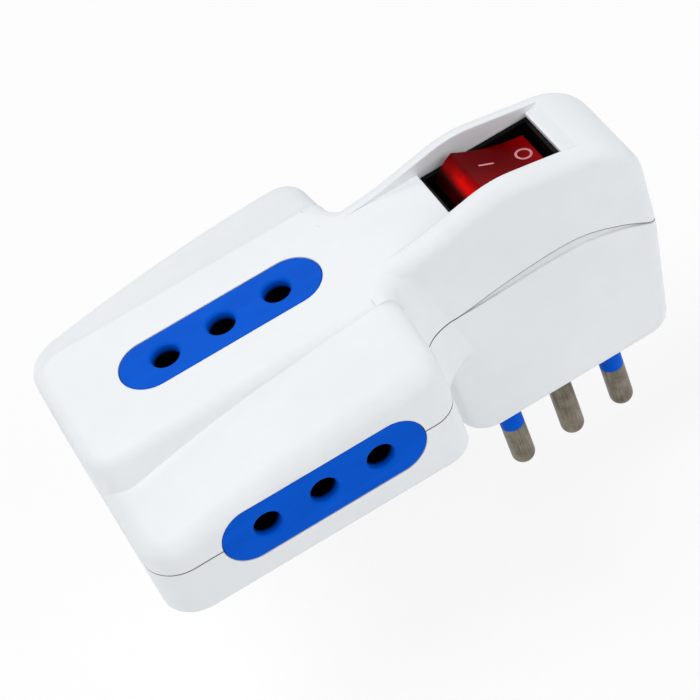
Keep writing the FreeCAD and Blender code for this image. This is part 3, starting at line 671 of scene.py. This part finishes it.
# %% [markdown]
# ## Marks on the rocker
# The rocker carries a bar and a ring, filled with pale paint. They could be painted by a mask in the
# material, but thin inlaid pieces stay crisp in a close view. The top of the rocker is a hollow arc that
# is tilted at rest, so the marks are drawn flat in the rocker's own frame, laid on the arc and tilted.

# %% The bar and the ring
PIVOT = Vector((1.55, 0, 35.2))
REST_TILT = math.radians(20)
ARC_RADIUS = 26.85
ARC_CENTRE_HEIGHT = 32.15
MARK_RISE = 0.015
MARK_SINK = 0.2
MARK_SIDE = 1.1
BAR_PLACE = -2.25
BAR_HALF_LENGTH = 1.3
BAR_HALF_WIDTH = 0.17
BAR_CORNER = 0.6 * BAR_HALF_WIDTH
BAR_CORNERS = 24
RING_PLACE = 4.1
RING_OUTER = 1.36
RING_INNER = 0.98
RING_CORNERS = 64


def on_rocker(along, across, rise):
    """Point in metres from its place on the rocker's dished top."""
    height = ARC_CENTRE_HEIGHT - math.sqrt(ARC_RADIUS ** 2 - along ** 2) + rise
    tilted = Matrix.Rotation(REST_TILT, 3, "Y") @ Vector((along, across, height))
    return (PIVOT + tilted) * MM


def inlay(outer, inner=None):
    """Closed thin band or plate between outlines on the rocker's top."""
    mesh = bmesh.new()

    def at(points, rise):
        return ring(mesh, [on_rocker(x, y, rise) for x, y in points])
    top, bottom = at(outer, MARK_RISE), at(outer, -MARK_SINK)
    skin(mesh, top, bottom)
    if inner:
        inner_top, inner_bottom = at(inner, MARK_RISE), at(inner, -MARK_SINK)
        skin(mesh, inner_top, inner_bottom)
        skin(mesh, top, inner_top)
        skin(mesh, bottom, inner_bottom)
    else:
        mesh.faces.new(top)
        mesh.faces.new(bottom)
    return mesh


bar_outline = [(BAR_PLACE + x, MARK_SIDE + y)
               for x, y in oval(2 * BAR_HALF_LENGTH, 2 * BAR_HALF_WIDTH, BAR_CORNER, BAR_CORNERS)]
finished(inlay(bar_outline), "bar_mark", "mark_paint", "rocker")
finished(inlay(circle(RING_PLACE, MARK_SIDE, RING_OUTER, RING_CORNERS),
               circle(RING_PLACE, MARK_SIDE, RING_INNER, RING_CORNERS)), "ring_mark", "mark_paint", "rocker")

# %% [markdown]
# ## A class for Geometry Nodes
# What repeats or winds is made with Geometry Nodes: one recipe, with its sizes as named inputs. The recipe
# is put on an object as a modifier, its inputs are set, and the result is kept as a plain mesh, because an
# exported model can't hold the recipe itself.

# %% Recipe class
class Recipe(Graph):
    """A Geometry Nodes tree whose sizes come in through named inputs."""

    def __init__(self, name, **sizes):
        super().__init__(bpy.data.node_groups.new(name, "GeometryNodeTree"))
        self.sizes = sizes
        face = self.tree.interface
        face.new_socket("Geometry", in_out="INPUT", socket_type="NodeSocketGeometry")
        for size in sizes:
            face.new_socket(size, in_out="INPUT", socket_type="NodeSocketFloat")
        face.new_socket("Geometry", in_out="OUTPUT", socket_type="NodeSocketGeometry")
        self.entry = self.tree.nodes.new("NodeGroupInput")

    def size(self, name):
        return Signal(self, self.entry.outputs[name])

    def vector(self, x=0.0, y=0.0, z=0.0):
        return self.node("ShaderNodeCombineXYZ", None, {0: x, 1: y, 2: z})

    def moved(self, geometry, **place):
        return self.node("GeometryNodeTransform", None, {"Geometry": geometry, **place})

    def made(self, geometry, slot, corners):
        """Plain mesh that the recipe gives on an object with these corners."""
        whole = self.node("GeometryNodeRealizeInstances", None, {0: geometry})
        dressed = self.node("GeometryNodeSetMaterial", None, {"Geometry": whole, "Material": FINISHES[slot]})
        exit_node = self.tree.nodes.new("NodeGroupOutput")
        self.tree.links.new(dressed.socket, exit_node.inputs[0])
        carrier_mesh = bpy.data.meshes.new(self.tree.name)
        carrier_mesh.from_pydata(corners, [], [])
        carrier = bpy.data.objects.new(self.tree.name, carrier_mesh)
        bpy.context.scene.collection.objects.link(carrier)
        modifier = carrier.modifiers.new("recipe", "NODES")
        modifier.node_group = self.tree
        for item in self.tree.interface.items_tree:
            if item.in_out == "INPUT" and item.name in self.sizes:
                modifier[item.identifier] = self.sizes[item.name]
        evaluated = carrier.evaluated_get(bpy.context.evaluated_depsgraph_get())
        mesh = bpy.data.meshes.new_from_object(evaluated)
        carrier.modifiers.remove(modifier)
        bpy.data.objects.remove(carrier)
        return mesh


# %% [markdown]
# ## Housing screws
# Four cross-head screws hold the shells together from below, sunk in round wells. One screw is a head with
# a bevelled rim, a shank and a cross pressed into the head, and it stands on each of four points. Booleans
# shape it: they fail where two faces lie in one plane, so each tool overlaps what it cuts. The points come
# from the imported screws, whose corners fall into four separate groups.

# %% Four screws by Geometry Nodes
screw_corners = [corner.co for corner in nodes["housing_screws"].data.vertices]
head_z = min(corner.z for corner in screw_corners)
SCREW_SIZES = {"Head Radius": 2.75 * MM, "Head Height": 2.0 * MM, "Rim Bevel": 0.4 * MM,
               "Shank Radius": 1.5 * MM, "Shank Length": 11.0 * MM, "Cross Length": 3.0 * MM,
               "Cross Width": 0.7 * MM, "Cross Depth": 1.0 * MM}
SCREW_REACH = 6 * MM
SCREW_CORNERS = 48
OVERLAP_SHARE = 0.25
CROSS_STEP = 1.03


def screw_places():
    """Middle of each screw's head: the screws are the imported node's separate clusters of corners."""
    middles = []
    for corner in screw_corners:
        home = next((group for group in middles
                     if math.hypot(corner.x - group[0][0], corner.y - group[0][1]) < SCREW_REACH), None)
        if home:
            home.append((corner.x, corner.y))
        else:
            middles.append([(corner.x, corner.y)])
    return [((min(x for x, y in group) + max(x for x, y in group)) / 2,
             (min(y for x, y in group) + max(y for x, y in group)) / 2, head_z) for group in middles]


def screws():
    recipe = Recipe("housing_screw", **SCREW_SIZES)
    radius, height, bevel = recipe.size("Head Radius"), recipe.size("Head Height"), recipe.size("Rim Bevel")
    overlap = height * OVERLAP_SHARE
    head = recipe.node("GeometryNodeMeshCylinder", None, {
        "Vertices": SCREW_CORNERS, "Radius": radius, "Depth": height})
    head = recipe.moved(head, Translation=recipe.vector(z=height / 2))
    cone = recipe.node("GeometryNodeMeshCone", None, {
        "Vertices": SCREW_CORNERS, "Depth": 2 * height + overlap,
        "Radius Bottom": radius - bevel - overlap, "Radius Top": radius - bevel + 2 * height})
    cone = recipe.moved(cone, Translation=recipe.vector(z=0 - overlap))
    head = recipe.node("GeometryNodeMeshBoolean", {"operation": "INTERSECT"}, {"Mesh 2": [head, cone]})
    length = recipe.size("Shank Length") + overlap
    shank = recipe.node("GeometryNodeMeshCylinder", None, {
        "Vertices": SCREW_CORNERS, "Radius": recipe.size("Shank Radius"), "Depth": length})
    shank = recipe.moved(shank, Translation=recipe.vector(z=height - overlap + length / 2))
    screw = recipe.node("GeometryNodeMeshBoolean", {"operation": "UNION"}, {"Mesh 2": [head, shank]})
    long, thin, deep = recipe.size("Cross Length"), recipe.size("Cross Width"), recipe.size("Cross Depth") * 2
    for sides in ((long, thin, deep), (thin, long, deep * CROSS_STEP)):
        slot = recipe.node("GeometryNodeMeshCube", None, {"Size": recipe.vector(*sides)})
        screw = recipe.node("GeometryNodeMeshBoolean", {"operation": "DIFFERENCE"}, {
            "Mesh 1": screw, "Mesh 2": slot})
    places = Signal(recipe, recipe.entry.outputs["Geometry"])
    points = recipe.node("GeometryNodeMeshToPoints", None, {"Mesh": places})
    copies = recipe.node("GeometryNodeInstanceOnPoints", None, {"Points": points, "Instance": screw})
    return recipe.made(copies, "steel", screw_places())


placed(screws(), "cross_screws", "steel", "adapter", "housing_screws")

# %% [markdown]
# ## Plunger spring
# A fine coil spring presses the plunger down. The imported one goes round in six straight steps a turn. The
# Curve Spiral node winds a smooth one, and a small circle swept along it makes the wire.

# %% Spring by Geometry Nodes
SPRING_SIZES = {"Coil Radius": 0.9 * MM, "Wire Radius": 0.2 * MM, "Height": 3.3 * MM, "Turns": 4.0,
                "Start": 0.4 * MM}
SPRING_STEPS = 32
WIRE_CORNERS = 10


def spring():
    recipe = Recipe("plunger_coil", **SPRING_SIZES)
    coil_radius = recipe.size("Coil Radius")
    line = recipe.node("GeometryNodeCurveSpiral", None, {
        "Resolution": SPRING_STEPS, "Rotations": recipe.size("Turns"), "Start Radius": coil_radius,
        "End Radius": coil_radius, "Height": recipe.size("Height")})
    wire = recipe.node("GeometryNodeCurvePrimitiveCircle", None, {
        "Resolution": WIRE_CORNERS, "Radius": recipe.size("Wire Radius")})
    coil = recipe.node("GeometryNodeCurveToMesh", None, {
        "Curve": line, "Profile Curve": wire, "Fill Caps": True})
    coil = recipe.moved(coil, Translation=recipe.vector(z=recipe.size("Start")))
    mesh = recipe.made(coil, "steel", [(0, 0, 0)])
    mesh.transform(Matrix.Translation(PIVOT * MM) @ Matrix.Rotation(REST_TILT, 4, "Y"))
    return mesh


placed(spring(), "coil_spring", "steel", "rocker", "plunger_spring")

# %% [markdown]
# ## Studio
# A product shot on white is a pale floor, a broad soft key lamp above on the left, and weaker lamps that
# open its shadows: one behind the object, one in front on the right and a faint one low on the left. The
# floor could be lit until it clips, but that washes out the object too. Light Path tells the floor and the
# world who looks at them, so only what the lens sees, or sees mirrored in the pins, is made white. The
# floor keeps a share of its own shading, and with it the object's shadow.

# %% Floor, world and lamps
FLOOR_DROP = 12 * MM
FLOOR_HALF = 1.5
FLOOR_WHITE_SHARE = 0.8
WORLD_STRENGTH = 0.31
WORLD_COLOUR = (0.96, 0.98, 1.0)


def looked_at(graph):
    """1 for rays from the camera, a mirror or clear plastic, and 0 for light that spreads."""
    def ray(name):
        return graph.node("ShaderNodeLightPath", output=name)
    return ray("Is Camera Ray").larger(ray("Is Glossy Ray")).larger(ray("Is Transmission Ray"))


def studio_floor():
    mesh = bpy.data.meshes.new("floor")
    grid = bmesh.new()
    bmesh.ops.create_grid(grid, x_segments=8, y_segments=8, size=FLOOR_HALF)
    grid.to_mesh(mesh)
    grid.free()
    floor = bpy.data.objects.new("floor", mesh)
    floor.location.z = cad_box[0].z - FLOOR_DROP
    bpy.context.scene.collection.objects.link(floor)
    finish = Finish("floor", Roughness=0.9, Specular_IOR_Level=0.1)
    drift = finish.noise(0.4, detail=1)
    finish.feed("Base Color", finish.mix(drift, (0.92, 0.92, 0.92), (0.95, 0.95, 0.95)))
    lit = Signal(finish, finish.shader.outputs[0])
    white = finish.node("ShaderNodeEmission", None, {"Color": (1, 1, 1, 1), "Strength": 1.0})
    share = looked_at(finish) * FLOOR_WHITE_SHARE
    both = finish.node("ShaderNodeMixShader", None, {0: share, 1: lit, 2: white})
    finish.tree.links.new(both.socket, finish.tree.nodes["Material Output"].inputs["Surface"])
    floor.data.materials.append(finish.material)


def studio_world(strength, colour):
    world = bpy.data.worlds.new("studio")
    world.use_nodes = True
    graph = Graph(world.node_tree)
    lamp_light = graph.node("ShaderNodeBackground", None, {"Color": (*colour, 1), "Strength": strength})
    backdrop = graph.node("ShaderNodeBackground", None, {"Color": (1, 1, 1, 1), "Strength": 1.0})
    both = graph.node("ShaderNodeMixShader", None, {0: looked_at(graph), 1: lamp_light, 2: backdrop})
    graph.tree.links.new(both.socket, graph.tree.nodes["World Output"].inputs["Surface"])
    bpy.context.scene.world = world


def soft_lamp(name, place, size, power):
    """Square lamp at a place in metres, facing the middle of the object."""
    data = bpy.data.lights.new(name, "AREA")
    data.size = size
    data.energy = power
    lamp = bpy.data.objects.new(name, data)
    lamp.location = place
    aim = (cad_box[0] + cad_box[1]) / 2 - Vector(place)
    lamp.rotation_euler = aim.to_track_quat("-Z", "Y").to_euler()
    bpy.context.scene.collection.objects.link(lamp)


studio_floor()
studio_world(WORLD_STRENGTH, WORLD_COLOUR)
soft_lamp("key", (-0.45, -0.15, 1.0), 0.6, 6.0)
soft_lamp("far", (0.1, 0.8, 0.8), 0.6, 2.9)
soft_lamp("fill", (0.8, -0.7, 0.4), 0.5, 4.2)
soft_lamp("low", (-0.8, -0.3, 0.12), 0.4, 0.6)

bpy.context.scene.view_settings.view_transform = "Standard"
